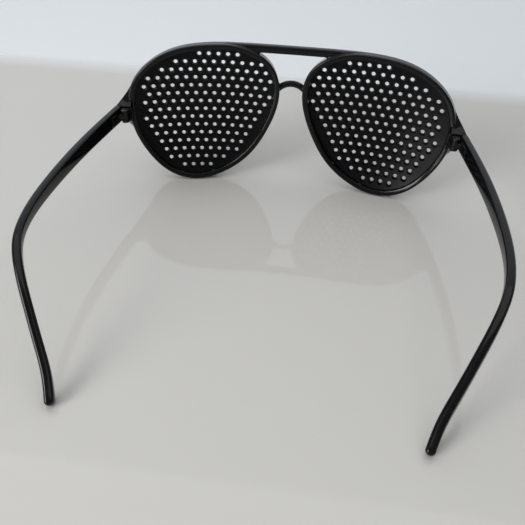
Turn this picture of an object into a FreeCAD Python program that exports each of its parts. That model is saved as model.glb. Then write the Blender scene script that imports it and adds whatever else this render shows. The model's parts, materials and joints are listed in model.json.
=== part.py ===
import FreeCAD, Part
import math
import os

import Sketcher

# Pinhole glasses with an aviator front, in millimetres.
# X runs across the face, +Y points the way the wearer looks and +Z is up.
# The glasses stand open on a table, on the two rims and the two arm tips.
# The origin is on the table, under the middle of the whole part.

os.makedirs("parts", exist_ok=True)
doc = FreeCAD.newDocument("PinholeGlasses")
sheet = doc.addObject("Spreadsheet::Sheet", "Sizes")

SIZES = (
    # front and lenses
    ("lens_spacing", 72.4, "from lens centre to lens centre"),
    ("lens_lift", 29.58, "lens centre above the table"),
    ("front_forward", 68.45, "lens centres in front of the origin"),
    ("wrap_angle", 10.0, "turn of each lens round the face, degrees"),
    ("tilt_angle", 3.4, "forward lean of the front, degrees"),
    ("lens_radius", 84.0, "radius of the spherical front of a lens"),
    ("rim_half_width", 31.4, "lens centre to the outside of the rim, across"),
    ("rim_half_height", 29.9, "lens centre to the outside of the rim, up"),
    ("rim_width", 2.3, "width of the rim, seen from the front"),
    ("rim_front", 1.9, "rim in front of the lens"),
    ("rim_back", 3.0, "rim behind the front of the lens"),
    ("nose_shift", 1.6, "shift of the rim's back sphere that thickens the rim at the nose"),
    ("rim_round", 0.7, "rounding of the rim's outer edges"),
    ("seat_depth", 1.0, "how far the groove goes into the rim"),
    ("seat_clearance", 0.06, "gap between a lens and its groove"),
    # pinhole lens
    ("lens_thickness", 1.2, "thickness of a lens"),
    ("hole_pitch", 3.8, "hole to hole along a row"),
    ("row_pitch", 3.44, "row to row"),
    ("hole_eye_diameter", 2.4, "hole at the eye side"),
    ("hole_front_diameter", 1.45, "hole at the front side"),
    ("hole_margin", 1.6, "least distance from a hole's centre to the lens edge in sight"),
    ("field_shift", 0.6, "field of holes towards the nose"),
    ("row_drop", 0.5, "middle row of holes below the lens centre"),
    # brow bar and bridge
    ("brow_height", 3.0, "height of the brow bar"),
    ("brow_depth", 3.6, "depth of the brow bar"),
    ("brow_back", 3.5, "middle of the brow bar behind the lens centres"),
    ("brow_rise", 27.4, "middle of the brow bar above the lens centres"),
    ("brow_half_length", 27.0, "middle of the bar to its blended end"),
    ("brow_round", 0.8, "rounding of the brow bar's edges"),
    ("bridge_thickness", 2.6, "thickness of the bridge arch"),
    ("bridge_radius", 7.3, "radius of the bridge arch"),
    ("bridge_angle", 134.0, "turn of the bridge arch, degrees"),
    ("bridge_rise", 14.6, "top of the bridge arch above the lens centres"),
    ("bridge_back", 0.9, "middle of the bridge arch behind the lens centres"),
    # end pieces and arms
    ("temple_spread", 141.0, "width over the arms at the hinges"),
    ("seam_back", 15.6, "from the lens centres back to the arm seam"),
    ("end_piece_height", 21.5, "height of an end piece where it leaves the rim"),
    ("end_piece_depth", 3.8, "depth of an end piece where it leaves the rim"),
    ("end_piece_rise", 0.9, "middle of an end piece above the lens centre, where it leaves the rim"),
    ("end_piece_bevel", 0.9, "bevel along an end piece's edges"),
    ("arm_rise", 31.2, "middle of an arm at the seam above the table"),
    ("arm_height", 6.4, "height of an arm at the seam"),
    ("arm_thickness", 3.15, "thickness of an arm at the seam"),
    ("arm_waist_height", 3.65, "height of an arm at its slimmest"),
    ("arm_tip_height", 4.1, "height of an arm near its tip"),
    ("arm_reach", 122.7, "from the seam back to the arm tip"),
    ("arm_bow", 5.0, "how far an arm bows out"),
    ("arm_hook", 21.4, "how far the tip comes in from the widest place"),
    ("arm_drop", 29.95, "how far the tip drops"),
    ("arm_bevel", 0.8, "bevel along an arm's edges"),
    ("arm_tip_round", 1.2, "rounding of an arm's tip"),
    ("seam_gap", 0.1, "gap between an end piece and an arm"),
    # hinges
    ("barrel_diameter", 3.0, "outside of the hinge knuckles"),
    ("barrel_gap", 0.15, "gap between the front knuckles and the inside of an arm"),
    ("barrel_back", 2.05, "hinge axis behind the seam"),
    ("hinge_height", 5.0, "height of the three knuckles together"),
    ("knuckle_gap", 0.06, "gap between two knuckles"),
    ("leaf_thickness", 1.2, "thickness of a hinge leaf"),
    ("leaf_reach", 1.9, "front hinge leaf from the axis towards the lens"),
    ("leaf_margin", 0.9, "end piece past the inner edge of the front hinge leaf"),
    ("leaf_length", 8.5, "hinge leaf along the arm"),
    ("leaf_height", 3.6, "height of the hinge leaf in the arm"),
    ("leaf_flare", 6.5, "turn of the arm's leaf out along the arm, degrees"),
    ("screw_diameter", 1.4, "hinge screw"),
    ("screw_head_diameter", 2.4, "head of the hinge screw"),
    ("screw_head_height", 0.7, "head of the hinge screw, top to shank"),
    ("screw_slot_width", 0.4, "width of the slot in the screw head"),
    ("screw_slot_depth", 0.35, "depth of the slot in the screw head"),
    ("running_clearance", 0.05, "radial gap of the middle knuckle on the screw"),
    # shared by all cuts
    ("overrun", 12.0, "how far a cutting shape runs past what it cuts"),
)

# The rim's outline from the nose side of its top, clockwise as the wearer sees the left lens:
# shares of the half width towards the nose and of the half height upwards.
OUTLINE_SHARES = (
    (0.24, 0.953), (0.565, 0.906), (0.86, 0.71), (0.965, 0.43), (0.944, 0.097), (0.824, -0.25),
    (0.596, -0.621), (0.232, -0.902), (-0.12, -1.0), (-0.48, -0.905), (-0.785, -0.59), (-0.955, -0.20),
    (-0.985, 0.11), (-0.938, 0.393), (-0.711, 0.68), (-0.29, 0.889),
)

# An edge of the rim's disc this near to the longest one runs right round it.
ROUND_EDGE_SHARE = 0.9

# Sections of the brow bar: shares of its half length, height and depth.
# The last ones also rise by a share of the height, into the top of the rim.
BROW_SHARES = (
    (1.0, 0.62, 0.85, 0.10), (0.80, 0.84, 0.94, 0.03), (0.60, 0.97, 0.99, 0.0), (0.30, 1.0, 1.0, 0.0),
)

# Sections of the end piece from the rim back to the seam: shares of the way sideways
# and back, of the change in width and height, and of the turn from outwards to backwards.
END_PIECE_SHARES = (
    (0.00, 0.00, 0.00, 0.00, 0.00), (0.42, 0.12, 0.12, 0.36, 0.25),
    (0.86, 0.46, 0.50, 0.76, 0.60), (1.00, 1.00, 1.00, 1.00, 1.00),
)

# The middle line of an arm: shares of its reach, bow, hook and drop.
ARM_PATH_SHARES = (
    (0.00, 0.00, 0.00, 0.00), (0.111, 0.39, 0.00, 0.00), (0.253, 0.79, 0.00, -0.005),
    (0.415, 1.00, 0.00, -0.018), (0.557, 1.00, 0.012, -0.035), (0.668, 1.00, 0.087, -0.043),
    (0.739, 1.00, 0.187, 0.00), (0.797, 1.00, 0.334, 0.159), (0.85, 1.00, 0.518, 0.396),
    (0.901, 1.00, 0.708, 0.632), (0.953, 1.00, 0.891, 0.848), (1.00, 1.00, 1.00, 1.00),
)

# The arm's sections at even steps along that line: shares of the change in height from
# the seam to the waist and from the waist to the tip, and a share of the thickness.
ARM_SECTION_SHARES = (
    (0.00, 0.00, 1.00), (0.04, 0.00, 1.00), (0.10, 0.00, 1.00), (0.19, 0.00, 0.99),
    (0.29, 0.00, 0.98), (0.40, 0.00, 0.96), (0.53, 0.00, 0.93), (0.68, 0.00, 0.90),
    (0.84, 0.00, 0.87), (0.95, 0.00, 0.86), (1.00, 0.00, 0.86), (1.00, 0.15, 0.87),
    (1.00, 0.45, 0.88), (1.00, 0.80, 0.90), (1.00, 1.00, 0.90),
)


# cell values

def fill_sheet():
    for row, (alias, value, note) in enumerate(SIZES, start=1):
        sheet.set(f"A{row}", note)
        sheet.set(f"B{row}", str(value))
        sheet.setAlias(f"B{row}", alias)
    doc.recompute()


def size(alias):
    return sheet.get(alias)


def vector(x, y, z):
    return FreeCAD.Vector(x, y, z)


X_AXIS = vector(1, 0, 0)
Y_AXIS = vector(0, 1, 0)
Z_AXIS = vector(0, 0, 1)
QUARTER_TURN = 90
FACING_Y = FreeCAD.Rotation(X_AXIS, QUARTER_TURN)


# document objects

def add(kind, name, **expressions):
    """Adds an object and binds its properties to the sheet."""
    item = doc.addObject(kind, name)
    for prop, text in expressions.items():
        item.setExpression(prop, text)
    return item


def fused(name, parts):
    item = doc.addObject("Part::MultiFuse", name)
    item.Shapes = parts
    item.Refine = False
    return item


def cut(name, base, tool):
    item = doc.addObject("Part::Cut", name)
    item.Base = base
    item.Tool = tool
    item.Refine = False
    return item


def common(name, base, tool):
    item = doc.addObject("Part::Common", name)
    item.Base = base
    item.Tool = tool
    item.Refine = False
    return item


def mirrored(name, source):
    """The same piece on the other side of the face."""
    item = doc.addObject("Part::Mirroring", name)
    item.Source = source
    item.Normal = X_AXIS
    return item


def rounded(name, base, picked, radius):
    """Rounds the edges that a rule picks."""
    doc.recompute()
    item = doc.addObject("Part::Fillet", name)
    item.Base = base
    item.Edges = [
        (number, radius, radius)
        for number, edge in enumerate(base.Shape.Edges, start=1)
        if picked(edge)
    ]
    return item


def polygon(sketch, corners):
    """Draws a closed outline of straight lines in a sketch."""
    for start, end in zip(corners, corners[1:] + corners[:1]):
        sketch.addGeometry(Part.LineSegment(start, end), False)


def square_to(direction, place):
    """A placement whose local Z follows a direction and whose local Y is as near upright as can be."""
    ahead = vector(direction.x, direction.y, direction.z).normalize()
    side = Z_AXIS.cross(ahead).normalize()
    return FreeCAD.Placement(place, FreeCAD.Rotation(side, ahead.cross(side), ahead, "ZXY"))


def section(name, corners, place, direction):
    item = doc.addObject("Sketcher::SketchObject", name)
    item.Placement = square_to(direction, place)
    polygon(item, corners)
    return item


def block_corners(width, height):
    return [
        vector(side * width / 2, end * height / 2, 0)
        for side, end in ((-1, -1), (1, -1), (1, 1), (-1, 1))
    ]


def bevelled_corners(width, height, bevel):
    half, tall = width / 2, height / 2
    return [
        vector(-half, bevel - tall, 0), vector(bevel - half, -tall, 0),
        vector(half - bevel, -tall, 0), vector(half, bevel - tall, 0),
        vector(half, tall - bevel, 0), vector(half - bevel, tall, 0),
        vector(bevel - half, tall, 0), vector(-half, tall - bevel, 0),
    ]


def loft(name, sections):
    item = doc.addObject("Part::Loft", name)
    item.Sections = sections
    item.Solid = True
    return item


def prism(name, sketch):
    """Runs an outline through the whole depth of the front."""
    item = add("Part::Extrusion", name, LengthFwd="Sizes.overrun", LengthRev="2 * Sizes.overrun")
    item.Base = sketch
    item.DirMode = "Custom"
    item.Dir = Y_AXIS
    item.Solid = True
    return item


def shell(name, in_front, behind):
    """A layer of the lens sphere, between two depths from the lens surface."""
    outer = add("Part::Sphere", name + "_outside", Radius=f"Sizes.lens_radius + ({in_front})")
    inner = add("Part::Sphere", name + "_inside", Radius=f"Sizes.lens_radius - ({behind})")
    for ball in (outer, inner):
        ball.setExpression("Placement.Base.y", "-Sizes.lens_radius")
    return cut(name, outer, inner)


def sag(across, up):
    """How far the front of a lens lies behind its middle."""
    radius = size("lens_radius")
    return radius - math.sqrt(radius * radius - across * across - up * up)


fill_sheet()

# The front leans forward, and each lens is turned round the face within it.
IN_FRONT = (
    "placement(vector(0; Sizes.front_forward; Sizes.lens_lift);"
    " rotation(vector(1; 0; 0); -Sizes.tilt_angle))"
)
IN_LEFT_LENS = (
    IN_FRONT + " * placement(vector(-Sizes.lens_spacing / 2; 0; 0);"
    " rotation(vector(0; 0; 1); Sizes.wrap_angle))"
)
AT_LEFT_HINGE = (
    "placement(vector(Sizes.arm_thickness + Sizes.barrel_gap + Sizes.barrel_diameter / 2"
    " - Sizes.temple_spread / 2;"
    " Sizes.front_forward - Sizes.seam_back - Sizes.barrel_back;"
    " Sizes.arm_rise - Sizes.hinge_height / 2); rotation(vector(0; 0; 1); 0))"
)
seam_y = size("front_forward") - size("seam_back")


# rim, drawn round the centre of the left lens

def closed_curve(points):
    curve = Part.BSplineCurve()
    curve.interpolate(Points=points, PeriodicFlag=True)
    return curve


def lens_outline(name, inset):
    """The rim's outline, moved in by a distance, as a sketch in the lens plane."""
    corners = []
    for point in rim_points:
        along = rim_curve.tangent(rim_curve.parameter(point))[0]
        inwards = vector(along.y, -along.x, 0)
        corners.append(point + inwards * inset)
    item = doc.addObject("Sketcher::SketchObject", name)
    item.Placement = FreeCAD.Placement(vector(0, 0, 0), FACING_Y)
    item.addGeometry(closed_curve(corners), False)
    return item


rim_points = [
    vector(across * size("rim_half_width"), up * size("rim_half_height"), 0)
    for across, up in OUTLINE_SHARES
]
rim_curve = closed_curve(rim_points)
lens_inset = size("rim_width") - size("seat_depth") + size("seat_clearance")
outline = lens_outline("rim_outline", 0)
sight_line = lens_outline("sight_line", size("rim_width"))
groove_line = lens_outline("groove_line", size("rim_width") - size("seat_depth"))
lens_line = lens_outline("lens_line", lens_inset)
hole_line = lens_outline("hole_line", size("rim_width") + size("hole_margin"))

rim_layer = shell("rim_layer", "Sizes.rim_front", "Sizes.rim_back")
doc.getObject("rim_layer_inside").setExpression("Placement.Base.x", "-Sizes.nose_shift")
rim_disc = common("rim_disc", prism("rim_prism", outline), rim_layer)
doc.recompute()
longest_edge = max(edge.Length for edge in rim_disc.Shape.Edges)
rim = rounded(
    "rim", rim_disc, lambda edge: edge.Length > longest_edge * ROUND_EDGE_SHARE, size("rim_round")
)

groove_layer = shell(
    "groove_layer", "Sizes.seat_clearance", "Sizes.lens_thickness + Sizes.seat_clearance"
)
groove = common("groove", prism("groove_prism", groove_line), groove_layer)
rim.setExpression("Placement", IN_LEFT_LENS)
lens_room = fused("lens_room", [prism("sight_prism", sight_line), groove])
lens_room.setExpression("Placement", IN_LEFT_LENS)


# end piece, from the rim's temple side back to the seam

doc.recompute()
in_left_lens = lens_room.Placement
root_across = size("rim_width") - size("rim_half_width")
root_up = size("end_piece_rise")
root_place = in_left_lens.multVec(vector(root_across, -sag(root_across, root_up), root_up))
root_slope = math.asin(root_across / size("lens_radius"))
root_direction = in_left_lens.Rotation.multVec(vector(-math.cos(root_slope), math.sin(root_slope), 0))
root_direction.z = 0
leaf_face = size("barrel_gap") + size("barrel_diameter") / 2
seam_width = size("arm_thickness") + leaf_face + size("leaf_reach") + size("leaf_margin")
seam_place = vector((seam_width - size("temple_spread")) / 2, seam_y, size("arm_rise"))


def between(start, end, share):
    return start + (end - start) * share


def end_piece_section(name, sideways, backwards, widening, lowering, turning):
    place = vector(
        between(root_place.x, seam_place.x, sideways),
        between(root_place.y, seam_place.y, backwards),
        between(root_place.z, seam_place.z, lowering),
    )
    corners = bevelled_corners(
        between(size("end_piece_depth"), seam_width, widening),
        between(size("end_piece_height"), size("arm_height"), lowering),
        size("end_piece_bevel"),
    )
    return section(name, corners, place, between(root_direction, -Y_AXIS, turning))


end_piece = loft("end_piece", [
    end_piece_section(f"end_piece_section_{number}", *shares)
    for number, shares in enumerate(END_PIECE_SHARES)
])


# brow bar and bridge arch

def brow_section(name, along, height, depth, lift):
    place = vector(
        along * size("brow_half_length"), -size("brow_back"),
        size("brow_rise") + lift * size("brow_height"),
    )
    return section(
        name, block_corners(depth * size("brow_depth"), height * size("brow_height")), place, X_AXIS
    )


brow_sections = [
    brow_section(f"brow_left_{number}", -along, height, depth, lift)
    for number, (along, height, depth, lift) in enumerate(BROW_SHARES, start=1)
]
brow_sections += [
    brow_section(f"brow_right_{number}", along, height, depth, lift)
    for number, (along, height, depth, lift) in reversed(list(enumerate(BROW_SHARES, start=1)))
]
brow_bar = rounded(
    "brow_bar", loft("brow_loft", brow_sections),
    lambda edge: edge.Length > size("brow_half_length"), size("brow_round"),
)
brow_bar.setExpression("Placement", IN_FRONT)

bridge = add(
    "Part::Torus", "bridge",
    Radius1="Sizes.bridge_radius",
    Radius2="Sizes.bridge_thickness / 2",
    Angle3="Sizes.bridge_angle",
    Placement=IN_FRONT + " * placement(vector(0; -Sizes.bridge_back;"
    " Sizes.bridge_rise - Sizes.bridge_thickness / 2 - Sizes.bridge_radius);"
    " rotation(vector(0; 1; 0); Sizes.bridge_angle / 2 - 90) * rotation(vector(1; 0; 0); 90))",
)


# hinge leaves and screw, drawn round the left hinge axis from the foot of the lowest knuckle

def origin_plane(body, role):
    return next(item for item in body.Origin.OriginFeatures if item.Role == role)


def body_sketch(body, name, plane, height="0"):
    item = body.newObject("Sketcher::SketchObject", name)
    item.AttachmentSupport = [(origin_plane(body, plane), "")]
    item.MapMode = "FlatFace"
    item.setExpression("AttachmentOffset.Base.z", height)
    return item


def pad(body, name, sketch, length):
    item = body.newObject("PartDesign::Pad", name)
    item.Profile = sketch
    item.setExpression("Length", length)
    return item


def pocket(body, name, sketch, length, downwards=False):
    item = body.newObject("PartDesign::Pocket", name)
    item.Profile = sketch
    item.Reversed = not downwards
    item.setExpression("Length", length)
    return item


def circle(sketch, diameter):
    """A circle round the axis, its diameter bound to the sheet."""
    sketch.addGeometry(Part.Circle(vector(0, 0, 0), Z_AXIS, size("screw_diameter")), False)
    sketch.addConstraint(Sketcher.Constraint("Coincident", 0, 3, -1, 1))
    sketch.addConstraint(Sketcher.Constraint("Diameter", 0, size("screw_diameter")))
    sketch.setExpression("Constraints[1]", diameter)


def knuckle_outline(sketch, reach, turn):
    """A barrel round the axis that runs straight on to its leaf, turned from +Y."""
    radius = size("barrel_diameter") / 2
    spin = FreeCAD.Rotation(Z_AXIS, turn)
    near_left, far_left, far_right, near_right, behind = (
        spin.multVec(vector(x, y, 0))
        for x, y in ((-radius, 0), (-radius, reach), (radius, reach), (radius, 0), (0, -radius))
    )
    sketch.addGeometry(Part.LineSegment(near_left, far_left), False)
    sketch.addGeometry(Part.LineSegment(far_left, far_right), False)
    sketch.addGeometry(Part.LineSegment(far_right, near_right), False)
    sketch.addGeometry(Part.Arc(near_right, behind, near_left), False)


third = "Sizes.hinge_height / 3"
front_leaf = doc.addObject("PartDesign::Body", "left_front_hinge_leaf")
front_leaf.setExpression("Placement", AT_LEFT_HINGE)
barrel_sketch = body_sketch(front_leaf, "front_barrel_outline", "XY_Plane")
knuckle_outline(barrel_sketch, size("barrel_back"), 0)
pad(front_leaf, "front_barrel", barrel_sketch, "Sizes.hinge_height")
plate_sketch = body_sketch(front_leaf, "front_plate_outline", "XY_Plane")
plate_left, plate_right = -size("barrel_diameter") / 2, size("leaf_reach")
plate_back = size("barrel_back")
plate_front = plate_back + size("leaf_thickness")
polygon(plate_sketch, [
    vector(plate_left, plate_back, 0), vector(plate_right, plate_back, 0),
    vector(plate_right, plate_front, 0), vector(plate_left, plate_front, 0),
])
pad(front_leaf, "front_plate", plate_sketch, "Sizes.hinge_height")
gap_sketch = body_sketch(front_leaf, "knuckle_gap_outline", "XY_Plane", f"{third} - Sizes.knuckle_gap")
gap_reach = size("barrel_diameter")
polygon(gap_sketch, [
    vector(-gap_reach, -gap_reach, 0), vector(gap_reach, -gap_reach, 0),
    vector(gap_reach, plate_back, 0), vector(-gap_reach, plate_back, 0),
])
pocket(front_leaf, "knuckle_space", gap_sketch, f"{third} + 2 * Sizes.knuckle_gap")
bore_sketch = body_sketch(front_leaf, "front_bore_outline", "XY_Plane")
circle(bore_sketch, "Sizes.screw_diameter")
pocket(front_leaf, "front_bore", bore_sketch, "Sizes.hinge_height")
head_sketch = body_sketch(
    front_leaf, "head_seat_outline", "XY_Plane", "Sizes.hinge_height - Sizes.screw_head_height"
)
circle(head_sketch, "Sizes.screw_head_diameter")
pocket(front_leaf, "head_seat", head_sketch, "Sizes.screw_head_height")

arm_leaf = doc.addObject("PartDesign::Body", "left_arm_hinge_leaf")
arm_leaf.setExpression("Placement", AT_LEFT_HINGE)
middle_sketch = body_sketch(arm_leaf, "middle_knuckle_outline", "XY_Plane", third)
knuckle_outline(middle_sketch, leaf_face + size("leaf_thickness") / 2, QUARTER_TURN)
pad(arm_leaf, "middle_knuckle", middle_sketch, third)
arm_plate_sketch = body_sketch(
    arm_leaf, "arm_plate_outline", "XY_Plane", "(Sizes.hinge_height - Sizes.leaf_height) / 2"
)
flare = FreeCAD.Rotation(Z_AXIS, -size("leaf_flare"))
leaf_start = vector(-leaf_face, size("barrel_diameter") / 2, 0)
polygon(arm_plate_sketch, [
    leaf_start + flare.multVec(vector(-sunk, -along, 0))
    for sunk, along in (
        (0, 0), (0, size("leaf_length")),
        (size("leaf_thickness"), size("leaf_length")), (size("leaf_thickness"), 0),
    )
])
pad(arm_leaf, "arm_plate", arm_plate_sketch, "Sizes.leaf_height")
arm_bore_sketch = body_sketch(arm_leaf, "arm_bore_outline", "XY_Plane")
circle(arm_bore_sketch, "Sizes.screw_diameter + 2 * Sizes.running_clearance")
pocket(arm_leaf, "arm_bore", arm_bore_sketch, "Sizes.hinge_height")

screw = doc.addObject("PartDesign::Body", "left_hinge_screw")
screw.setExpression("Placement", AT_LEFT_HINGE)
screw_sketch = body_sketch(screw, "screw_outline", "XZ_Plane")
shank, head = size("screw_diameter") / 2, size("screw_head_diameter") / 2
top = size("hinge_height")
neck = top - size("screw_head_height")
polygon(screw_sketch, [
    vector(0, 0, 0), vector(shank, 0, 0), vector(shank, neck, 0),
    vector(head, neck, 0), vector(head, top, 0), vector(0, top, 0),
])
turned = screw.newObject("PartDesign::Revolution", "turned_screw")
turned.Profile = screw_sketch
turned.ReferenceAxis = (screw_sketch, ["V_Axis"])
turned.Angle = 4 * QUARTER_TURN
slot_sketch = body_sketch(screw, "slot_outline", "XY_Plane", "Sizes.hinge_height - Sizes.screw_slot_depth")
polygon(slot_sketch, block_corners(2 * size("screw_head_diameter"), size("screw_slot_width")))
pocket(screw, "screw_slot", slot_sketch, "2 * Sizes.screw_slot_depth")


# arm, lofted through sections along its path

def arm_place(reach, bow, hook, drop):
    start_x = (size("arm_thickness") - size("temple_spread")) / 2
    return vector(
        start_x - bow * size("arm_bow") + hook * size("arm_hook"),
        seam_y - size("seam_gap") - reach * size("arm_reach"),
        size("arm_rise") - drop * size("arm_drop"),
    )


def arm_section(number, place, direction, to_waist, to_tip, thickness):
    seam, waist, tip = size("arm_height"), size("arm_waist_height"), size("arm_tip_height")
    corners = bevelled_corners(
        thickness * size("arm_thickness"),
        seam + to_waist * (waist - seam) + to_tip * (tip - waist),
        thickness * size("arm_bevel"),
    )
    return section(f"arm_section_{number}", corners, place, direction)


def in_end_face(edge):
    """Whether an edge lies in the plane of the arm's last section."""
    to_plane = arm_sections[-1].Placement.inverse()
    return all(abs(to_plane.multVec(corner.Point).z) < size("arm_tip_round") / 2 for corner in edge.Vertexes)


arm_path = Part.BSplineCurve()
arm_path.interpolate([arm_place(*shares) for shares in ARM_PATH_SHARES])
arm_places = arm_path.discretize(len(ARM_SECTION_SHARES))
arm_directions = [arm_path.tangent(arm_path.parameter(place))[0] for place in arm_places]
arm_directions[0] = -Y_AXIS
arm_sections = [
    arm_section(number, place, direction, *shares)
    for number, (place, direction, shares) in enumerate(zip(arm_places, arm_directions, ARM_SECTION_SHARES))
]
arm_blank = rounded("arm_blank", loft("arm_loft", arm_sections), in_end_face, size("arm_tip_round"))
left_arm = cut("left_arm", arm_blank, arm_leaf)


# the left lens with its holes

lens_layer = shell("lens_layer", "0", "Sizes.lens_thickness")
lens_blank = common("lens_blank", prism("lens_prism", lens_line), lens_layer)


def hole_places():
    """Rows of holes inside the hole line, each row set half a pitch off the last."""
    field = Part.Face(Part.Wire(Part.__sortEdges__(hole_line.Shape.Edges)))
    rows = math.ceil(size("rim_half_height") / size("row_pitch"))
    columns = math.ceil(size("rim_half_width") / size("hole_pitch"))
    for row in range(-rows, rows + 1):
        for column in range(-columns, columns + 1):
            across = (column + (row % 2) / 2) * size("hole_pitch")
            up = row * size("row_pitch") - size("row_drop")
            spot = vector(across - size("field_shift"), 0, up)
            if field.isInside(spot, field.Tolerance, True):
                yield across, up


def hole_pin(across, up):
    """A tapered pin that stands through the lens, widest on the eye side."""
    depth = size("lens_thickness")
    eye_radius = size("hole_eye_diameter") / 2
    front_radius = size("hole_front_diameter") / 2
    spare = (eye_radius - front_radius) / 2
    middle = vector(across, -sag(across, up) - depth / 2, up)
    start = middle - Y_AXIS * depth
    return Part.makeCone(eye_radius + spare, front_radius - spare, 2 * depth, start, Y_AXIS)


hole_pins = doc.addObject("Part::Feature", "hole_pins")
hole_pins.Shape = Part.makeCompound([hole_pin(across, up) for across, up in hole_places()])
left_lens = cut("left_pinhole_lens", lens_blank, hole_pins)
left_lens.setExpression("Placement", IN_LEFT_LENS)


# the front in one piece, opened for the lenses and the hinge leaves

left_side = fused("left_side", [rim, end_piece])
front_blank = fused("front_blank", [left_side, mirrored("right_side", left_side), brow_bar, bridge])
left_room = fused("left_room", [lens_room, front_leaf])
rooms = fused("rooms", [left_room, mirrored("right_room", left_room)])
front_frame = cut("front_frame", front_blank, rooms)


# pieces by name

pieces = {"front_frame": front_frame}
for left_piece in (left_lens, front_leaf, arm_leaf, screw, left_arm):
    right_name = left_piece.Name.replace("left_", "right_")
    pieces[left_piece.Name] = left_piece
    pieces[right_name] = doc.getObject(right_name) or mirrored(right_name, left_piece)
doc.recompute()

for item in doc.Objects:
    if "Invalid" in item.State or "Error" in item.State:
        raise RuntimeError(f"{item.Name} did not build: {item.State}")
for name, item in pieces.items():
    item.Label = name
    shape = item.Shape
    if shape.isNull() or not shape.isValid() or not shape.Solids:
        raise RuntimeError(f"{name} has no valid solid")
    shape.exportStep(f"parts/{name}.step")
    box = shape.BoundBox
    print(
        f"{name}: {len(shape.Solids)} solid, {shape.Volume:.1f} mm3,"
        f" x {box.XMin:.2f} to {box.XMax:.2f}, y {box.YMin:.2f} to {box.YMax:.2f},"
        f" z {box.ZMin:.2f} to {box.ZMax:.2f}"
    )
print("holes in a lens:", len(hole_pins.Shape.Solids))
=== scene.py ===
# %% [markdown]
# # Pinhole glasses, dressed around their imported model
#
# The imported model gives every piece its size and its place. This file gives each piece
# its finished skin and its material, then adds a floor, soft light and a camera.
# All lengths in the scene are in metres, so millimetre sizes are multiplied by `MM`.

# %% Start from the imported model
import json
import math

import bmesh
import bpy
import numpy as np
from mathutils import Euler, Matrix, Vector

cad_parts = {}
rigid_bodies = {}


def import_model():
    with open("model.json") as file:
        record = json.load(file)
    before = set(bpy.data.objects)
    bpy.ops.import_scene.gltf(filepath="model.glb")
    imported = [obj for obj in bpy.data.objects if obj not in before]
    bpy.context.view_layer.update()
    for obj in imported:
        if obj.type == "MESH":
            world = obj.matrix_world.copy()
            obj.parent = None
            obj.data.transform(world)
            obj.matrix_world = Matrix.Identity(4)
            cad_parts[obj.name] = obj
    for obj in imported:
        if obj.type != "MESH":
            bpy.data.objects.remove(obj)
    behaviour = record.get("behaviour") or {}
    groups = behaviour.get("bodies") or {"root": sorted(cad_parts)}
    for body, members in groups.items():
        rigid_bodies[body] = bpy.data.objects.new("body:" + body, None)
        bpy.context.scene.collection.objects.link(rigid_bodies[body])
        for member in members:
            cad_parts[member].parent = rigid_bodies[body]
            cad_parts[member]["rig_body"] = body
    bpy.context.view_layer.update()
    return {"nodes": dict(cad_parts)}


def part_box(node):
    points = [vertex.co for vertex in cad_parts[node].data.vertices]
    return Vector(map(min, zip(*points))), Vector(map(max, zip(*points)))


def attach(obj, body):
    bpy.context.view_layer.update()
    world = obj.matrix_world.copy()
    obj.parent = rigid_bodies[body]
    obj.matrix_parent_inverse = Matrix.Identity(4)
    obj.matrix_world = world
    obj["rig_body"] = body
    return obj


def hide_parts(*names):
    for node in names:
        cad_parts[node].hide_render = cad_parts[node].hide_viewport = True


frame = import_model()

MM = 0.001
print("nodes:", sorted(frame["nodes"]))

# %% [markdown]
# ## Helpers for meshes
#
# A finished piece is a plain mesh whose object sits at the origin. `keep` turns the result
# of any modifiers into such a mesh, and `dress` says which body it moves with, which solid
# it stands for and which finish it takes.


# %% Helpers for meshes
WELD_DISTANCE = 0.001 * MM


def new_object(name, mesh):
    piece = bpy.data.objects.new(name, mesh)
    bpy.context.scene.collection.objects.link(piece)
    return piece


def mesh_from(name, points, faces):
    mesh = bpy.data.meshes.new(name)
    mesh.from_pydata([tuple(point) for point in points], [], faces)
    mesh.validate()
    return mesh


def keep(piece):
    """Replaces a piece's mesh by what its modifiers make of it."""
    graph = bpy.context.evaluated_depsgraph_get()
    mesh = bpy.data.meshes.new_from_object(piece.evaluated_get(graph), depsgraph=graph)
    piece.modifiers.clear()
    piece.data = mesh
    return piece


def smooth_by_angle(piece, degrees):
    piece.data.shade_smooth()
    piece.data.set_sharp_from_angle(angle=math.radians(degrees))
    return piece


def merged_copy(name, node):
    """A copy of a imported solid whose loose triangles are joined."""
    piece = new_object(name, frame["nodes"][node].data.copy())
    weld = piece.modifiers.new("weld", "WELD")
    weld.merge_threshold = WELD_DISTANCE
    return keep(piece)


def mirrored_copy(name, piece):
    """The same piece on the other side of the face, its faces still pointing outwards."""
    mesh = piece.data.copy()
    mesh.transform(Matrix.Scale(-1, 4, Vector((1, 0, 0))))
    mesh.flip_normals()
    return new_object(name, mesh)


def dress(piece, node, material):
    piece.data.materials.clear()
    piece.data.materials.append(material)
    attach(piece, frame["nodes"][node]["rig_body"])
    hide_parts(node)
    print(f"{piece.name}: {len(piece.data.polygons)} faces")
    return piece


print("mesh helpers: ready")

# %% [markdown]
# ## Node maths as Python
#
# A node tree is easier to read as an expression. `Value` wraps a socket, so that
# `0.2 + 0.1 * noise` adds the Math nodes it needs. `Tree` adds any other node from its
# type, its settings and its inputs, in a material as well as in Geometry Nodes.


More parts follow.
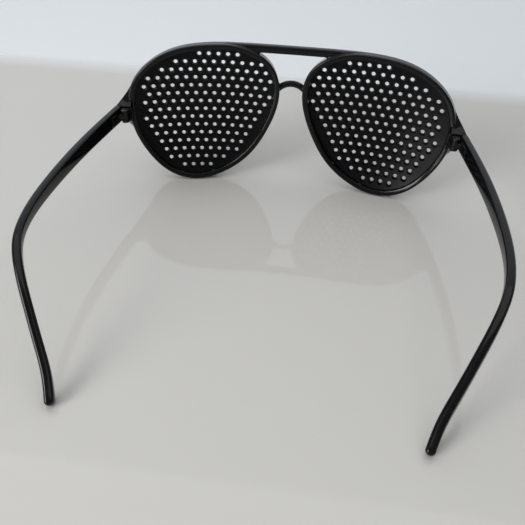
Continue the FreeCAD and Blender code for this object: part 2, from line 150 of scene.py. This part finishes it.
# %% Node maths as Python
class Value:
    """A socket that can be used in an expression."""

    def __init__(self, tree, socket):
        self.tree = tree
        self.socket = socket

    def math(self, operation, *operands):
        return self.tree.node("ShaderNodeMath", {"operation": operation}, dict(enumerate(operands)))

    def __add__(self, other):
        return self.math("ADD", self, other)

    def __mul__(self, other):
        return self.math("MULTIPLY", self, other)

    def __sub__(self, other):
        return self.math("SUBTRACT", self, other)

    def __rsub__(self, other):
        return self.math("SUBTRACT", other, self)

    def __truediv__(self, other):
        return self.math("DIVIDE", self, other)

    def __gt__(self, other):
        return self.math("GREATER_THAN", self, other)

    def __lt__(self, other):
        return self.math("LESS_THAN", self, other)

    __radd__ = __add__
    __rmul__ = __mul__


class Tree:
    """Adds nodes to a node tree."""

    def __init__(self, node_tree):
        self.nodes = node_tree.nodes
        self.links = node_tree.links

    def connect(self, socket, value):
        if isinstance(value, Value):
            self.links.new(value.socket, socket)
        else:
            socket.default_value = value

    def node(self, kind, settings, inputs, output=0):
        """Adds a node, sets it up and gives one of its outputs."""
        made = self.nodes.new(kind)
        for name, value in settings.items():
            setattr(made, name, value)
        for name, value in inputs.items():
            self.connect(made.inputs[name], value)
        return Value(self, made.outputs[output])


print("node maths: ready")

# %% A tree for a material
class Finish(Tree):
    """The node tree of one material."""

    def __init__(self, name):
        self.material = bpy.data.materials.new(name)
        self.material.use_nodes = True
        super().__init__(self.material.node_tree)
        self.shader = self.nodes["Principled BSDF"]

    def noise(self, per_metre, detail):
        """Noise on object coordinates, which are metres in the frame of the glasses."""
        place = self.node("ShaderNodeTexCoord", {}, {}, "Object")
        return self.node("ShaderNodeTexNoise", {}, {"Vector": place, "Scale": per_metre, "Detail": detail})

    def ramp(self, value, low, high):
        """0 below `low`, 1 above `high` and straight in between."""
        return self.node(
            "ShaderNodeMapRange", {"clamp": True}, {"Value": value, "From Min": low, "From Max": high}
        )

    def blend(self, factor, first, second):
        return self.node(
            "ShaderNodeMix", {"data_type": "RGBA"}, {"Factor": factor, 6: first, 7: second}, 2
        )

    def bump(self, height, strength, distance):
        return self.node(
            "ShaderNodeBump", {}, {"Height": height, "Strength": strength, "Distance": distance}
        )

    def finish(self, **sockets):
        """Sets the shader's sockets, whose names have underscores for spaces here."""
        for name, value in sockets.items():
            self.connect(self.shader.inputs[name.replace("_", " ")], value)
        return self.material


print("material trees: ready")

# %% [markdown]
# ## The black plastics
#
# The frame and the arms are one polished black plastic, and the lenses are the same black
# with a duller face, so they catch broad soft light. One flat colour would look drawn,
# because black shows its surface mostly by what it mirrors. So noise gives the frame a
# faint, slow waviness, fine rub marks that dull it in patches and a little dust. Noise is
# chosen over a painted image, since it needs no seams and fits every piece.


# %% Polished black plastic
PLASTIC_IOR = 1.49
FRAME_BLACK = (0.0020, 0.0020, 0.0024, 1)
FRAME_RUBBED = (0.0040, 0.0040, 0.0045, 1)
FRAME_DUST = (0.12, 0.12, 0.115, 1)
FRAME_DUST_COVER = 0.20


def polished_black(name):
    tree = Finish(name)
    flow = tree.noise(per_metre=90.0, detail=1.0)
    rub = tree.ramp(tree.noise(per_metre=900.0, detail=6.0), low=0.48, high=0.78)
    dust = tree.ramp(tree.noise(per_metre=4200.0, detail=1.0), low=0.76, high=0.82)
    black = tree.blend(rub, FRAME_BLACK, FRAME_RUBBED)
    return tree.finish(
        Base_Color=tree.blend(dust * FRAME_DUST_COVER, black, FRAME_DUST),
        Roughness=0.11 + 0.05 * rub + 0.15 * dust,
        IOR=PLASTIC_IOR,
        Specular_IOR_Level=0.28,
        Normal=tree.bump(flow, strength=0.02, distance=0.1 * MM),
    )


frame_black = polished_black("frame_black_plastic")
print("made", frame_black.name)


# %% Duller black plastic of the lenses
LENS_BLACK = (0.0020, 0.0020, 0.0026, 1)
LENS_CLOUDED = (0.0040, 0.0040, 0.0050, 1)
LENS_DUST = (0.10, 0.10, 0.095, 1)
LENS_DUST_COVER = 0.15


def dull_black(name):
    tree = Finish(name)
    grain = tree.noise(per_metre=5200.0, detail=3.0)
    cloud = tree.noise(per_metre=120.0, detail=3.0)
    dust = tree.ramp(tree.noise(per_metre=3600.0, detail=1.0), low=0.75, high=0.81)
    black = tree.blend(cloud, LENS_BLACK, LENS_CLOUDED)
    return tree.finish(
        Base_Color=tree.blend(dust * LENS_DUST_COVER, black, LENS_DUST),
        Roughness=0.24 + 0.08 * cloud,
        IOR=PLASTIC_IOR,
        Specular_IOR_Level=0.125,
        Normal=tree.bump(grain, strength=0.08, distance=0.03 * MM),
    )


lens_black = dull_black("lens_black_plastic")
print("made", lens_black.name)


# %% [markdown]
# ## The metals of the hinges
#
# Knuckles and leaves are lacquered black, and the lacquer is thin enough to show a trace
# of metal where it has been rubbed. The screws are blackened steel. The two could be
# separate trees, but they differ only in colour and roughness, so one function makes both.


# %% Lacquered and blackened metal
def lacquered_metal(name, lacquer, worn, roughness):
    tree = Finish(name)
    rubbed = tree.ramp(tree.noise(per_metre=1500.0, detail=5.0), low=0.56, high=0.72)
    hammer = tree.noise(per_metre=2600.0, detail=2.0)
    return tree.finish(
        Base_Color=tree.blend(rubbed, lacquer, worn),
        Metallic=0.10 + 0.5 * rubbed,
        Roughness=roughness + 0.12 * rubbed,
        Specular_IOR_Level=0.30,
        Normal=tree.bump(hammer, strength=0.12, distance=0.04 * MM),
    )


hinge_black = lacquered_metal(
    "hinge_lacquer",
    lacquer=(0.003, 0.003, 0.0035, 1), worn=(0.020, 0.020, 0.021, 1), roughness=0.30,
)
screw_black = lacquered_metal(
    "blackened_steel",
    lacquer=(0.010, 0.010, 0.011, 1), worn=(0.060, 0.060, 0.060, 1), roughness=0.28,
)
print("made", hinge_black.name, "and", screw_black.name)

# %% [markdown]
# ## The moulded front
#
# Rims, brow bar, nose arch and end pieces come out of one mould, so every inner corner
# has a small fillet. A Bevel modifier could round them, but it fails where many curved
# faces meet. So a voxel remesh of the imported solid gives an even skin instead, and a few
# rounds of smoothing relax it into those fillets.

# %% The moulded front
FRONT_VOXEL = 0.31 * MM
SMOOTHING_ROUNDS = 3
SMOOTHING_SHARE = 0.5

front = merged_copy("front", "front_frame")
remesh = front.modifiers.new("even_skin", "REMESH")
remesh.mode = "VOXEL"
remesh.voxel_size = FRONT_VOXEL
relax = front.modifiers.new("fillets", "SMOOTH")
relax.factor = SMOOTHING_SHARE
relax.iterations = SMOOTHING_ROUNDS
keep(front).data.shade_smooth()
dress(front, "front_frame", frame_black)

# %% [markdown]
# ## Smooth curves
#
# The outline of a lens and the middle line of an arm each run smoothly through a few
# points. Blender's own curves could do that once each handle is placed by hand. A cubic
# curve finds its slopes itself: they make the bend even across each point, which is one
# small set of linear equations.


# %% Smooth curves
class SmoothCurve:
    """A cubic curve through points, measured along the straight lines between them."""

    def __init__(self, points, closed=False):
        points = np.array(points, float)
        self.points = np.vstack([points, points[:1]]) if closed else points
        self.steps = np.linalg.norm(np.diff(self.points, axis=0), axis=1)
        self.knots = np.concatenate([[0.0], np.cumsum(self.steps)])
        last = len(self.points) - 1
        system = np.zeros((last + 1, last + 1))
        sides = np.zeros_like(self.points)
        for here in range(0 if closed else 1, last):
            before, after = self.steps[here - 1], self.steps[here]
            behind = self.points[here - 1 if here else last - 1]
            system[here, here - 1 if here else last - 1] += after
            system[here, here] += 2 * (before + after)
            system[here, here + 1] += before
            sides[here] = 3 * (
                after / before * (self.points[here] - behind)
                + before / after * (self.points[here + 1] - self.points[here])
            )
        if closed:
            system[last, [0, last]] = 1, -1
        else:
            system[0, :2] = 2, 1
            sides[0] = 3 * (self.points[1] - self.points[0]) / self.steps[0]
            system[last, -2:] = 1, 2
            sides[last] = 3 * (self.points[last] - self.points[last - 1]) / self.steps[-1]
        self.slopes = np.linalg.solve(system, sides)

    def at(self, distance):
        span = min(int(np.searchsorted(self.knots, distance, side="right")) - 1, len(self.steps) - 1)
        step = self.steps[span]
        t = (distance - self.knots[span]) / step
        start, end = self.points[span], self.points[span + 1]
        return (
            (1 + 2 * t) * (1 - t) ** 2 * start + t * (1 - t) ** 2 * step * self.slopes[span]
            + t * t * (3 - 2 * t) * end - t * t * (1 - t) * step * self.slopes[span + 1]
        )

    def sampled(self, count):
        return [self.at(distance) for distance in np.linspace(0, self.knots[-1], count)]


print("a cubic curve through its points: ready")

# %% [markdown]
# ## The shape of a lens plate
#
# Each lens is a dish: a piece of a ball's skin, cut out along the outline of the rim. A
# sphere cut by the outline would do, but its faces would run across the edge. Here it is
# drawn flat on the XZ plane round its own centre first, as rings that shrink from the
# outline towards the middle, and every ring point is dropped onto the ball. The sizes
# repeat those of the imported lens, and the boxes of both are printed later.

# %% Sizes of the lenses
LENS_SPACING = 72.4 * MM
LENS_LIFT = 29.58 * MM
FRONT_FORWARD = 68.45 * MM
WRAP = math.radians(10.0)
TILT = math.radians(3.4)
LENS_RADIUS = 84.0 * MM
LENS_THICKNESS = 1.2 * MM
RIM_HALF_WIDTH = 31.4 * MM
RIM_HALF_HEIGHT = 29.9 * MM
PLATE_INSET = 1.36 * MM
OUTLINE_SHARES = (
    (0.24, 0.953), (0.565, 0.906), (0.86, 0.71), (0.965, 0.43), (0.944, 0.097), (0.824, -0.25),
    (0.596, -0.621), (0.232, -0.902), (-0.12, -1.0), (-0.48, -0.905), (-0.785, -0.59), (-0.955, -0.20),
    (-0.985, 0.11), (-0.938, 0.393), (-0.711, 0.68), (-0.29, 0.889),
)
in_left_lens = (
    Matrix.Translation((0, FRONT_FORWARD, LENS_LIFT)) @ Matrix.Rotation(-TILT, 4, "X")
    @ Matrix.Translation((-LENS_SPACING / 2, 0, 0)) @ Matrix.Rotation(WRAP, 4, "Z")
)
print("the left lens is centred at", [round(value / MM, 1) for value in in_left_lens.translation])

# %% The plate of a lens, without its holes
OUTLINE_STEPS = 120
RING_SHARES = (1.0, 0.97, 0.9, 0.8, 0.7, 0.6, 0.5, 0.4, 0.3, 0.2, 0.1)
rim_points = [(across * RIM_HALF_WIDTH, up * RIM_HALF_HEIGHT) for across, up in OUTLINE_SHARES]


def inset_outline(inset):
    """The rim's outline, moved in by a distance."""
    rim = SmoothCurve(rim_points, closed=True)
    moved = []
    for point, slope in zip(rim.points[:-1], rim.slopes[:-1]):
        along = slope / np.linalg.norm(slope)
        moved.append(point + inset * np.array([along[1], -along[0]]))
    return SmoothCurve(moved, closed=True)


def on_ball(point, radius):
    across, up = point
    return (across, math.sqrt(radius * radius - across * across - up * up) - LENS_RADIUS, up)


def lens_plate(name):
    outline = inset_outline(PLATE_INSET).sampled(OUTLINE_STEPS + 1)[:-1]
    points = []
    for radius in (LENS_RADIUS, LENS_RADIUS - LENS_THICKNESS):
        points += [on_ball(share * spot, radius) for share in RING_SHARES for spot in outline]
        points.append(on_ball((0, 0), radius))
    side = len(RING_SHARES) * OUTLINE_STEPS + 1
    faces = []
    for step in range(OUTLINE_STEPS):
        after = (step + 1) % OUTLINE_STEPS
        for ring in range(len(RING_SHARES) - 1):
            start = ring * OUTLINE_STEPS
            inwards = start + OUTLINE_STEPS
            quad = (start + step, start + after, inwards + after, inwards + step)
            faces += [quad, tuple(side + corner for corner in reversed(quad))]
        inner = (len(RING_SHARES) - 1) * OUTLINE_STEPS
        middle = (inner + step, inner + after, side - 1)
        faces += [middle, tuple(side + corner for corner in reversed(middle))]
        faces.append((after, step, side + step, side + after))
    mesh = mesh_from(name, points, faces)
    tidy = bmesh.new()
    tidy.from_mesh(mesh)
    bmesh.ops.recalc_face_normals(tidy, faces=tidy.faces)
    tidy.to_mesh(mesh)
    tidy.free()
    return new_object(name, mesh)


left_lens = lens_plate("left_lens")
print("plate:", len(left_lens.data.polygons), "faces")

# %% [markdown]
# ## The pinholes
#
# The holes are what repeats here, so Geometry Nodes make them. A grid of points has every
# second row moved by half a pitch and is laid on the front of the lens. Points too near
# the edge are deleted, a tapered pin stands on each of the rest, and one Boolean takes
# all the pins out of the plate. A shallow cone on the eye side takes the sharpness off
# the edge of each hole, as a polished mould does.


# %% A tree for Geometry Nodes
class Geometry(Tree):
    """A Geometry Nodes tree with named inputs, which keep their values for the modifier."""

    def __init__(self, name):
        self.group = bpy.data.node_groups.new(name, "GeometryNodeTree")
        super().__init__(self.group)
        self.group.interface.new_socket("Geometry", in_out="INPUT", socket_type="NodeSocketGeometry")
        self.group.interface.new_socket("Geometry", in_out="OUTPUT", socket_type="NodeSocketGeometry")
        self.entry = self.nodes.new("NodeGroupInput")
        self.values = {}

    def input(self, name, kind, value):
        socket = self.group.interface.new_socket(name, in_out="INPUT", socket_type=f"NodeSocket{kind}")
        self.values[socket.identifier] = value
        return Value(self, self.entry.outputs[name])

    def position(self):
        """The three coordinates of the geometry's points."""
        place = self.node("GeometryNodeInputPosition", {}, {})
        return [self.node("ShaderNodeSeparateXYZ", {}, {0: place}, axis) for axis in range(3)]

    def vector(self, x, y, z):
        return self.node("ShaderNodeCombineXYZ", {}, {0: x, 1: y, 2: z})

    def run(self, piece, geometry):
        """Ends the tree and turns what it makes of a piece into the piece's mesh."""
        self.connect(self.nodes.new("NodeGroupOutput").inputs[0], geometry)
        modifier = piece.modifiers.new(self.group.name, "NODES")
        modifier.node_group = self.group
        for identifier, value in self.values.items():
            modifier[identifier] = value
        return keep(piece)


print("Geometry Nodes trees: ready")

# %% Sizes of the pinholes
HOLE_PITCH = 3.8 * MM
ROW_PITCH = 3.44 * MM
EYE_RADIUS = 1.2 * MM
FRONT_RADIUS = 0.725 * MM
EDGE_DISTANCE = 2.54 * MM
FIELD_SHIFT = 0.6 * MM
ROW_DROP = 0.5 * MM
BROKEN_HOLE_EDGE = 0.10 * MM
HOLE_SIDES = 24
ROWS = 19
COLUMNS = 19
HALF = 0.5
SHARP_LENS_EDGE = 35
print("a grid of", ROWS, "rows and", COLUMNS, "columns of points")

# %% Points of the holes
holes = Geometry("pinholes")
pitch = holes.input("Hole pitch", "Float", HOLE_PITCH)
row_pitch = holes.input("Row pitch", "Float", ROW_PITCH)
row_drop = holes.input("Row drop", "Float", ROW_DROP)
edge_distance = holes.input("Least distance to the edge", "Float", EDGE_DISTANCE)
eye_radius = holes.input("Radius at the eye side", "Float", EYE_RADIUS)
front_radius = holes.input("Radius at the front side", "Float", FRONT_RADIUS)
thickness = holes.input("Thickness", "Float", LENS_THICKNESS)
ball_radius = holes.input("Ball radius", "Float", LENS_RADIUS)
plastic = holes.input("Material", "Material", lens_black)
plate = Value(holes, holes.entry.outputs["Geometry"])


def ball_depth(across, up, radius):
    """How far behind the middle of the lens front a ball's skin lies."""
    squared = radius * radius - across * across - up * up
    return squared.math("SQRT", squared) - ball_radius


grid = holes.node("GeometryNodeMeshGrid", {}, {
    "Size X": pitch * (COLUMNS - 1), "Size Y": row_pitch * (ROWS - 1),
    "Vertices X": COLUMNS, "Vertices Y": ROWS,
})
column_place, row_place, _ = holes.position()
row = row_place / row_pitch
row_number = row.math("ABSOLUTE", row.math("ROUND", row))
across = column_place + row_number.math("MODULO", row_number, 2.0) * pitch * HALF
up = row_place - row_drop
grid = holes.node("GeometryNodeSetPosition", {}, {
    "Geometry": grid, "Position": holes.vector(across, ball_depth(across, up, ball_radius), up),
})
print("the grid takes", len(holes.nodes), "nodes")

# %% Only the points that lie well inside the plate
_, facing_front, _ = [
    holes.node("ShaderNodeSeparateXYZ", {}, {0: holes.node("GeometryNodeInputNormal", {}, {})}, axis)
    for axis in range(3)
]
wall = holes.node("GeometryNodeSeparateGeometry", {"domain": "FACE"}, {
    "Geometry": plate, "Selection": facing_front.math("ABSOLUTE", facing_front) < HALF,
})
x, _, z = holes.position()
wall = holes.node(
    "GeometryNodeSetPosition", {}, {"Geometry": wall, "Position": holes.vector(x, 0.0, z)}
)
test_x = x - FIELD_SHIFT
to_edge = holes.node("GeometryNodeProximity", {"target_element": "EDGES"}, {
    "Geometry": wall, "Sample Position": holes.vector(test_x, 0.0, z),
}, "Distance")
over_plate = holes.node("GeometryNodeRaycast", {}, {
    "Target Geometry": plate, "Source Position": holes.vector(test_x, LENS_RADIUS, z),
    "Ray Direction": (0.0, -1.0, 0.0), "Ray Length": 2 * LENS_RADIUS,
})
spots = holes.node("GeometryNodeDeleteGeometry", {"domain": "POINT"}, {
    "Geometry": grid, "Selection": 1.0 - over_plate * (to_edge > edge_distance),
})
print("with the choice of points", len(holes.nodes), "nodes")

# %% Pins and edge cones
UPRIGHT = (math.radians(-90), 0.0, 0.0)

spare = (eye_radius - front_radius) * HALF
pin = holes.node("GeometryNodeMeshCone", {}, {
    "Vertices": HOLE_SIDES, "Depth": thickness * 2.0,
    "Radius Bottom": eye_radius + spare, "Radius Top": front_radius - spare,
})
pin = holes.node("GeometryNodeTransform", {}, {
    "Geometry": pin, "Rotation": UPRIGHT,
    "Translation": holes.vector(0.0, thickness * (-1 - HALF), 0.0),
})
pins = holes.node("GeometryNodeInstanceOnPoints", {}, {"Points": spots, "Instance": pin})

x, _, z = holes.position()
eye_spots = holes.node("GeometryNodeSetPosition", {}, {
    "Geometry": spots, "Position": holes.vector(x, ball_depth(x, z, ball_radius - thickness), z),
})
edge_cone = holes.node("GeometryNodeMeshCone", {}, {
    "Vertices": HOLE_SIDES, "Depth": 2 * BROKEN_HOLE_EDGE,
    "Radius Bottom": eye_radius + 2 * BROKEN_HOLE_EDGE, "Radius Top": eye_radius,
})
edge_cone = holes.node("GeometryNodeTransform", {}, {
    "Geometry": edge_cone, "Translation": (0.0, 0.0, -BROKEN_HOLE_EDGE),
})
x, y, z = holes.position()
outwards = holes.node(
    "FunctionNodeAlignRotationToVector", {"axis": "Z"}, {"Vector": holes.vector(x, y + ball_radius, z)}
)
edge_cones = holes.node("GeometryNodeInstanceOnPoints", {}, {
    "Points": eye_spots, "Instance": edge_cone, "Rotation": outwards,
})
print("with pins and cones", len(holes.nodes), "nodes")

# %% The holes taken out of the plate
boolean = holes.nodes.new("GeometryNodeMeshBoolean")
boolean.operation = "DIFFERENCE"
boolean.solver = "MANIFOLD"
holes.connect(boolean.inputs["Mesh 1"], plate)
for cutters in (edge_cones, pins):
    solid = holes.node("GeometryNodeRealizeInstances", {}, {"Geometry": cutters})
    holes.connect(boolean.inputs["Mesh 2"], solid)
perforated = holes.node(
    "GeometryNodeRealizeInstances", {}, {"Geometry": Value(holes, boolean.outputs["Mesh"])}
)
perforated = holes.node("GeometryNodeSetMaterial", {}, {"Geometry": perforated, "Material": plastic})
holes.run(left_lens, perforated)
left_lens.data.transform(in_left_lens)
smooth_by_angle(left_lens, SHARP_LENS_EDGE)

right_lens = mirrored_copy("right_lens", left_lens)
for side, lens in (("left", left_lens), ("right", right_lens)):
    dress(lens, f"{side}_pinhole_lens", lens_black)
solid_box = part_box("left_pinhole_lens")
dish_box = [Vector(corner) for corner in left_lens.bound_box]
print("packed lens:", [[round(value / MM, 2) for value in corner] for corner in solid_box])
print("made lens:", [
    [round(pick(corner[axis] for corner in dish_box) / MM, 2) for axis in range(3)] for pick in (min, max)
])

# %% [markdown]
# ## The arms
#
# An arm is a slim bar that bows out, turns down behind the ear and slims on the way. A
# curve with a bevel shape could make it, but would scale height and width alike. So it is
# made as rings of a rounded section that follow its middle line. Each ring stands square
# to the line, and the last rings draw in, so that both ends are rounded off. A Boolean
# then cuts the pocket that holds the hinge leaf.

# %% The middle line and the sections of an arm
ARM_START = Vector((-68.925, 52.75, 31.2)) * MM
ARM_REACH = 122.7 * MM
ARM_BOW = 5.0 * MM
ARM_HOOK = 21.4 * MM
ARM_DROP = 29.95 * MM
ARM_PATH_SHARES = (
    (0.00, 0.00, 0.00, 0.00), (0.111, 0.39, 0.00, 0.00), (0.253, 0.79, 0.00, -0.005),
    (0.415, 1.00, 0.00, -0.018), (0.557, 1.00, 0.012, -0.035), (0.668, 1.00, 0.087, -0.043),
    (0.739, 1.00, 0.187, 0.00), (0.797, 1.00, 0.334, 0.159), (0.85, 1.00, 0.518, 0.396),
    (0.901, 1.00, 0.708, 0.632), (0.953, 1.00, 0.891, 0.848), (1.00, 1.00, 1.00, 1.00),
)
ARM_HEIGHTS = [value * MM for value in (
    6.4, 6.29, 6.13, 5.88, 5.60, 5.30, 4.94, 4.53, 4.09, 3.79, 3.65, 3.72, 3.85, 4.01, 4.1,
)]
ARM_WIDTHS = [value * MM for value in (
    3.15, 3.15, 3.15, 3.12, 3.09, 3.02, 2.93, 2.84, 2.74, 2.71, 2.71, 2.74, 2.77, 2.84, 2.84,
)]

arm_line = SmoothCurve([
    (
        ARM_START.x - bow * ARM_BOW + hook * ARM_HOOK,
        ARM_START.y - reach * ARM_REACH,
        ARM_START.z - drop * ARM_DROP,
    )
    for reach, bow, hook, drop in ARM_PATH_SHARES
])
print("an arm is", round(arm_line.knots[-1] / MM, 1), "mm long")

# %% The arms
EDGE_ROUND = 0.95 * MM
SEAM_ROUND = 0.25 * MM
TIP_ROUND = 1.3 * MM
WIDTHS_PER_RADIUS = 2.05
ARM_RINGS = 110
END_RINGS = 8
CORNER_STEPS = 6
SHARP_ARM_EDGE = 40


def drawn_in(distance, radius):
    """How far a ring at a distance from a rounded end is drawn in."""
    short = max(radius - distance, 0.0)
    return radius - math.sqrt(radius * radius - short * short)


def rounded_section(width, height, radius):
    corners = ((1, 1, 0), (-1, 1, 90), (-1, -1, 180), (1, -1, 270))
    ring = []
    for across, up, first in corners:
        for step in range(CORNER_STEPS):
            turn = math.radians(first + 90 * step / (CORNER_STEPS - 1))
            ring.append((
                across * (width / 2 - radius) + radius * math.cos(turn),
                up * (height / 2 - radius) + radius * math.sin(turn),
            ))
    return ring


def arm_stations(length):
    """Distances along the arm: close together where an end is rounded."""
    ends = [1 - math.cos(math.radians(90) * step / END_RINGS) for step in range(END_RINGS + 1)]
    return (
        [SEAM_ROUND * share for share in ends]
        + list(np.linspace(2 * SEAM_ROUND, length - 2 * TIP_ROUND, ARM_RINGS))
        + [length - TIP_ROUND * share for share in reversed(ends)]
    )


def arm_mesh(name):
    length = arm_line.knots[-1]
    marks = np.linspace(0, length, len(ARM_HEIGHTS))
    points = []
    stations = arm_stations(length)
    for distance in stations:
        place = Vector(arm_line.at(distance))
        before, after = max(distance - MM, 0), min(distance + MM, length)
        ahead = Vector(arm_line.at(after) - arm_line.at(before)).normalized()
        across = Vector((0, 0, 1)).cross(ahead).normalized()
        up = ahead.cross(across)
        inset = drawn_in(distance, SEAM_ROUND) + drawn_in(length - distance, TIP_ROUND)
        width = float(np.interp(distance, marks, ARM_WIDTHS)) - 2 * inset
        height = float(np.interp(distance, marks, ARM_HEIGHTS)) - 2 * inset
        radius = min(EDGE_ROUND, width / WIDTHS_PER_RADIUS)
        points += [place + x * across + y * up for x, y in rounded_section(width, height, radius)]
    around = 4 * CORNER_STEPS
    faces = []
    for start in range(0, len(points) - around, around):
        for step in range(around):
            after = (step + 1) % around
            ring_after = start + around
            faces.append((start + step, start + after, ring_after + after, ring_after + step))
    faces.append(tuple(reversed(range(around))))
    faces.append(tuple(range(len(points) - around, len(points))))
    return mesh_from(name, points, faces)


left_arm = new_object("left_side_arm", arm_mesh("left_side_arm"))
pocket_tool = merged_copy("leaf_pocket", "left_arm_hinge_leaf")
pocket = left_arm.modifiers.new("leaf_pocket", "BOOLEAN")
pocket.operation = "DIFFERENCE"
pocket.object = pocket_tool
keep(left_arm)
bpy.data.objects.remove(pocket_tool)
smooth_by_angle(left_arm, SHARP_ARM_EDGE)
right_arm = mirrored_copy("right_side_arm", left_arm)
for side, arm in (("left", left_arm), ("right", right_arm)):
    dress(arm, f"{side}_arm", frame_black)

# %% [markdown]
# ## Hinges
#
# The knuckles and screws are small turned and stamped parts. They could be drawn anew, but
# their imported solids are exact, so a Bevel only gives them the tiny broken edge that every
# such part has.

# %% Hinges
BROKEN_EDGE = 0.10 * MM
BROKEN_EDGE_STEPS = 2
EDGE_TO_BREAK = 40
SHARP_HINGE_EDGE = 35


def broken_edges(name, node):
    piece = merged_copy(name, node)
    bevel = piece.modifiers.new("broken_edge", "BEVEL")
    bevel.width = BROKEN_EDGE
    bevel.segments = BROKEN_EDGE_STEPS
    bevel.limit_method = "ANGLE"
    bevel.angle_limit = math.radians(EDGE_TO_BREAK)
    return smooth_by_angle(keep(piece), SHARP_HINGE_EDGE)


for side in ("left", "right"):
    for part in ("front_hinge_leaf", "arm_hinge_leaf"):
        piece = broken_edges(f"{side}_{part}_finished", f"{side}_{part}")
        dress(piece, f"{side}_{part}", hinge_black)
    screw = broken_edges(f"{side}_screw", f"{side}_hinge_screw")
    dress(screw, f"{side}_hinge_screw", screw_black)

# %% [markdown]
# ## Floor and backdrop
#
# One pale sweep is both floor and backdrop: it runs flat under the glasses and curves up
# in front of them, which is the far end of the picture. Its gloss gives the faint mirror
# image that a smooth counter shows, and it turns whiter a little past the glasses.

# %% Floor and backdrop
FLOOR_NEAR = -0.9
FLOOR_FAR = 0.42
SWEEP_RADIUS = 0.14
WALL_TOP = 1.3
HALF_WIDTH = 1.3
SWEEP_STEPS = 24
WHITER_BETWEEN = (0.165, 0.185)
COUNTER_COLOUR = (0.590, 0.580, 0.554, 1)
FAR_COLOUR = (0.80, 0.83, 0.86, 1)

profile = [(FLOOR_NEAR, 0.0), (FLOOR_FAR, 0.0)]
for step in range(1, SWEEP_STEPS + 1):
    turn = math.radians(90) * step / SWEEP_STEPS
    profile.append(
        (FLOOR_FAR + SWEEP_RADIUS * math.sin(turn), SWEEP_RADIUS * (1 - math.cos(turn)))
    )
profile.append((FLOOR_FAR + SWEEP_RADIUS, WALL_TOP))
sweep_points = [Vector((x, y, z)) for x in (-HALF_WIDTH, HALF_WIDTH) for y, z in profile]
count = len(profile)
sweep_faces = [(i, i + count, i + count + 1, i + 1) for i in range(count - 1)]
backdrop = new_object("backdrop", mesh_from("backdrop", sweep_points, sweep_faces))
backdrop.data.shade_smooth()


def pale_surface(name):
    """A pale counter, glossy near the glasses, with a whiter and duller part past them."""
    tree = Finish(name)
    place = tree.node("ShaderNodeTexCoord", {}, {}, "Object")
    forward = tree.node("ShaderNodeSeparateXYZ", {}, {0: place}, 1)
    past = tree.ramp(forward, *WHITER_BETWEEN)
    return tree.finish(
        Base_Color=tree.blend(past, COUNTER_COLOUR, FAR_COLOUR),
        Roughness=0.03 + 0.32 * past,
    )


backdrop.data.materials.append(pale_surface("pale_counter"))
print("backdrop from", FLOOR_NEAR, "to", FLOOR_FAR + SWEEP_RADIUS)

# %% [markdown]
# ## Light
#
# Soft light from a window-like lamp, low on the left and behind the camera, and from a wide
# one above, with an even pale world for what they don't reach.


# %% Light
def softbox(name, place, aim, width, height, watts):
    lamp = bpy.data.lights.new(name, "AREA")
    lamp.shape = "RECTANGLE"
    lamp.size = width
    lamp.size_y = height
    lamp.energy = watts
    holder = bpy.data.objects.new(name, lamp)
    holder.location = place
    holder.rotation_euler = (Vector(aim) - Vector(place)).to_track_quat("-Z", "Y").to_euler()
    bpy.context.scene.collection.objects.link(holder)
    return holder


softbox(
    "window", place=(-0.62, -0.66, 0.36), aim=(0, 0.02, 0.03), width=0.40, height=0.62, watts=7.2,
)
softbox("ceiling", place=(0.0, 0.1, 1.2), aim=(0, 0, 0), width=1.8, height=1.8, watts=10.0)

SKY_COLOUR = (0.97, 0.985, 1.0, 1)
SKY_STRENGTH = 0.25

world = bpy.data.worlds.new("soft_world")
world.use_nodes = True
sky = world.node_tree.nodes["Background"]
sky.inputs["Color"].default_value = SKY_COLOUR
sky.inputs["Strength"].default_value = SKY_STRENGTH
bpy.context.scene.world = world
bpy.context.scene.view_settings.view_transform = "Standard"
print("lamps:", len(bpy.data.lights))

# %% [markdown]
# ## Camera
#
# The camera stands behind and above the glasses, a little to the right, as in the
# photograph. Its focal length is given in pixels of the square image, and the lens follows
# from the width of the sensor.

# %% Camera
IMAGE_SIDE = 525
FOCAL_PIXELS = 602.596
SENSOR_WIDTH = 36.0
CAMERA_PLACE = (17.514, -167.175, 141.274)
CAMERA_TURN = (50.757, -1.455, 7.766)
NEAREST_SEEN = 0.01

camera_data = bpy.data.cameras.new("camera")
camera_data.sensor_width = SENSOR_WIDTH
camera_data.lens = FOCAL_PIXELS / IMAGE_SIDE * SENSOR_WIDTH
camera_data.clip_start = NEAREST_SEEN
camera = bpy.data.objects.new("camera", camera_data)
camera.location = Vector(CAMERA_PLACE) * MM
camera.rotation_euler = Euler([math.radians(angle) for angle in CAMERA_TURN], "XYZ")
bpy.context.scene.collection.objects.link(camera)
bpy.context.scene.camera = camera
print("the lens is", round(camera_data.lens, 2), "mm on a sensor of", SENSOR_WIDTH, "mm")
